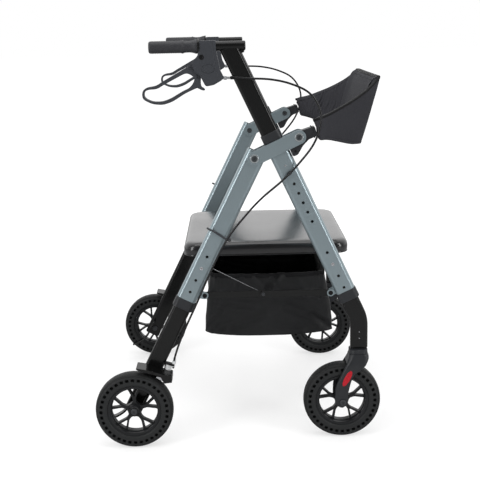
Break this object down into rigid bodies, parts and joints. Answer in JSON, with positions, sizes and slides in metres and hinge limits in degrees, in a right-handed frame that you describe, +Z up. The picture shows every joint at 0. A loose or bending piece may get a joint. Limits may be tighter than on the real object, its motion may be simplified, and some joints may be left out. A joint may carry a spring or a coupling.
{
  "type": "rollator",
  "caption": "Folding walking frame on wheels with a seat, a bag, a padded backrest strap, height-adjusting legs and handles, and cable brakes worked by loop levers.",
  "frame": {"origin": "on the floor, midway along the length and between the two sides", "axes": "+X forward, +Y to the user's left, +Z up"},
  "size_m": [0.7094, 0.7146, 0.9744],
  "materials": {
    "frame_paint": "metallic slate blue-grey gloss",
    "black_tube": "satin black",
    "black_plastic": "fine grain",
    "cable_cover": "smooth",
    "grip_rubber": "matte",
    "tyre_rubber": "matte",
    "steel": "plated",
    "seat_vinyl": "smooth vinyl",
    "bag_cloth": "woven",
    "strap_cloth": "padded, matte"
  },
  "bodies": {
    "frame": {"front_leg_left": "frame_paint", "front_leg_right": "frame_paint", "top_bracket_left": "frame_paint", "top_bracket_right": "frame_paint", "handle_collar_left": "black_plastic", "handle_collar_right": "black_plastic", "front_collar_left": "black_plastic", "front_collar_right": "black_plastic", "seat_rail_front": "black_tube", "bag": "bag_cloth", "brake_cable_left": "cable_cover", "brake_cable_right": "cable_cover"},
    "rear_frame": {"rear_leg_left": "frame_paint", "rear_leg_right": "frame_paint", "rear_collar_left": "black_plastic", "rear_collar_right": "black_plastic", "seat_rail_rear": "black_tube"},
    "seat": {"seat_pad": "seat_vinyl"},
    "backrest": {"backrest_arm_left": "black_plastic", "backrest_arm_right": "black_plastic", "backrest_pad": "strap_cloth"},
    "front_link_left": {"front_fold_link_left": "black_tube"},
    "rear_link_left": {"rear_fold_link_left": "black_tube"},
    "handle_left": {"handle_post_left": "black_tube", "grip_left": "grip_rubber", "brake_housing_left": "black_plastic"},
    "brake_lever_left": {"brake_lever_left": "black_plastic"},
    "rear_foot_left": {"rear_lower_leg_left": "black_tube", "brake_bracket_left": "black_plastic", "tip_lever_left": "black_tube", "rear_axle_left": "steel"},
    "brake_shoe_left": {"brake_shoe_left": "steel"},
    "rear_wheel_left": {"rear_rim_left": "black_plastic", "rear_tyre_left": "tyre_rubber"},
    "front_foot_left": {"front_lower_leg_left": "black_tube"},
    "caster_left": {"caster_fork_left": "black_plastic", "front_axle_left": "steel"},
    "front_wheel_left": {"front_rim_left": "black_plastic", "front_tyre_left": "tyre_rubber"},
    "front_link_right": {"front_fold_link_right": "black_tube"},
    "rear_link_right": {"rear_fold_link_right": "black_tube"},
    "handle_right": {"handle_post_right": "black_tube", "grip_right": "grip_rubber", "brake_housing_right": "black_plastic"},
    "brake_lever_right": {"brake_lever_right": "black_plastic"},
    "rear_foot_right": {"rear_lower_leg_right": "black_tube", "brake_bracket_right": "black_plastic", "tip_lever_right": "black_tube", "rear_axle_right": "steel"},
    "brake_shoe_right": {"brake_shoe_right": "steel"},
    "rear_wheel_right": {"rear_rim_right": "black_plastic", "rear_tyre_right": "tyre_rubber"},
    "front_foot_right": {"front_lower_leg_right": "black_tube"},
    "caster_right": {"caster_fork_right": "black_plastic", "front_axle_right": "steel"},
    "front_wheel_right": {"front_rim_right": "black_plastic", "front_tyre_right": "tyre_rubber"}
  },
  "joints": [
    {"name": "fold", "type": "hinge", "parent": "frame", "child": "rear_frame", "pos_m": [0.0451, 0, 0.7], "axis": [0, -1, 0], "range_deg": [0, 27]},
    {"name": "seat_lift", "type": "hinge", "parent": "frame", "child": "seat", "pos_m": [0.23304, 0, 0.43], "axis": [0, 1, 0], "range_deg": [0, 76]},
    {"name": "backrest_fold", "type": "hinge", "parent": "frame", "child": "backrest", "pos_m": [0.14941, 0, 0.7477], "axis": [0, -1, 0], "range_deg": [0, 70]},
    {"name": "front_link_turn_left", "type": "hinge", "parent": "frame", "child": "front_link_left", "pos_m": [0.22279, 0.3037, 0.3695], "axis": [0, 1, 0], "range_deg": [0, 46.3]},
    {"name": "rear_link_turn_left", "type": "hinge", "parent": "rear_frame", "child": "rear_link_left", "pos_m": [-0.081, 0.2997, 0.3695], "axis": [0, -1, 0], "range_deg": [0, 51.8]},
    {"name": "handle_height_left", "type": "slide", "parent": "frame", "child": "handle_left", "axis": [-0.4182, 0, 0.9084], "range_m": [-0.1, 0], "deforming": ["brake_cable_left"]},
    {"name": "brake_squeeze_left", "type": "hinge", "parent": "handle_left", "child": "brake_lever_left", "pos_m": [-0.07089, 0.299, 0.9347], "axis": [0, 1, 0], "range_deg": [-18, 20], "stiffness_Nm_per_rad": 2.5},
    {"name": "rear_height_left", "type": "slide", "parent": "rear_frame", "child": "rear_foot_left", "axis": [0.4499, 0, 0.8931], "range_m": [-0.064, 0.032]},
    {"name": "shoe_turn_left", "type": "hinge", "parent": "rear_foot_left", "child": "brake_shoe_left", "pos_m": [-0.17819, 0.332, 0.17], "axis": [0, -1, 0], "range_deg": [-7, 7.7]},
    {"name": "rear_wheel_roll_left", "type": "hinge", "parent": "rear_foot_left", "child": "rear_wheel_left", "pos_m": [-0.2597, 0.335, 0.095], "axis": [0, 1, 0], "continuous": true},
    {"name": "front_height_left", "type": "slide", "parent": "frame", "child": "front_foot_left", "axis": [-0.4182, 0, 0.9084], "range_m": [-0.064, 0.032]},
    {"name": "caster_swivel_left", "type": "hinge", "parent": "front_foot_left", "child": "caster_left", "pos_m": [0.2923, 0.299, 0.2275], "axis": [0, 0, 1], "continuous": true},
    {"name": "front_wheel_roll_left", "type": "hinge", "parent": "caster_left", "child": "front_wheel_left", "pos_m": [0.2503, 0.299, 0.095], "axis": [0, 1, 0], "continuous": true},
    {"name": "front_link_turn_right", "type": "hinge", "parent": "frame", "child": "front_link_right", "pos_m": [0.22279, -0.3037, 0.3695], "axis": [0, 1, 0], "range_deg": [0, 46.3]},
    {"name": "rear_link_turn_right", "type": "hinge", "parent": "rear_frame", "child": "rear_link_right", "pos_m": [-0.081, -0.2997, 0.3695], "axis": [0, -1, 0], "range_deg": [0, 51.8]},
    {"name": "handle_height_right", "type": "slide", "parent": "frame", "child": "handle_right", "axis": [-0.4182, 0, 0.9084], "range_m": [-0.1, 0], "deforming": ["brake_cable_right"]},
    {"name": "brake_squeeze_right", "type": "hinge", "parent": "handle_right", "child": "brake_lever_right", "pos_m": [-0.07089, -0.299, 0.9347], "axis": [0, 1, 0], "range_deg": [-18, 20], "stiffness_Nm_per_rad": 2.5},
    {"name": "rear_height_right", "type": "slide", "parent": "rear_frame", "child": "rear_foot_right", "axis": [0.4499, 0, 0.8931], "range_m": [-0.064, 0.032]},
    {"name": "shoe_turn_right", "type": "hinge", "parent": "rear_foot_right", "child": "brake_shoe_right", "pos_m": [-0.17819, -0.332, 0.17], "axis": [0, -1, 0], "range_deg": [-7, 7.7]},
    {"name": "rear_wheel_roll_right", "type": "hinge", "parent": "rear_foot_right", "child": "rear_wheel_right", "pos_m": [-0.2597, -0.335, 0.095], "axis": [0, 1, 0], "continuous": true},
    {"name": "front_height_right", "type": "slide", "parent": "frame", "child": "front_foot_right", "axis": [-0.4182, 0, 0.9084], "range_m": [-0.064, 0.032]},
    {"name": "caster_swivel_right", "type": "hinge", "parent": "front_foot_right", "child": "caster_right", "pos_m": [0.2923, -0.299, 0.2275], "axis": [0, 0, 1], "continuous": true},
    {"name": "front_wheel_roll_right", "type": "hinge", "parent": "caster_right", "child": "front_wheel_right", "pos_m": [0.2503, -0.299, 0.095], "axis": [0, 1, 0], "continuous": true}
  ],
  "couplings": [
    {"joint": "front_link_turn_left", "follows": "fold", "ratio": 1.713},
    {"joint": "rear_link_turn_left", "follows": "fold", "ratio": 1.916},
    {"joint": "shoe_turn_left", "follows": "brake_squeeze_left", "ratio": 0.38},
    {"joint": "front_link_turn_right", "follows": "fold", "ratio": 1.713},
    {"joint": "rear_link_turn_right", "follows": "fold", "ratio": 1.916},
    {"joint": "shoe_turn_right", "follows": "brake_squeeze_right", "ratio": 0.38}
  ]
}
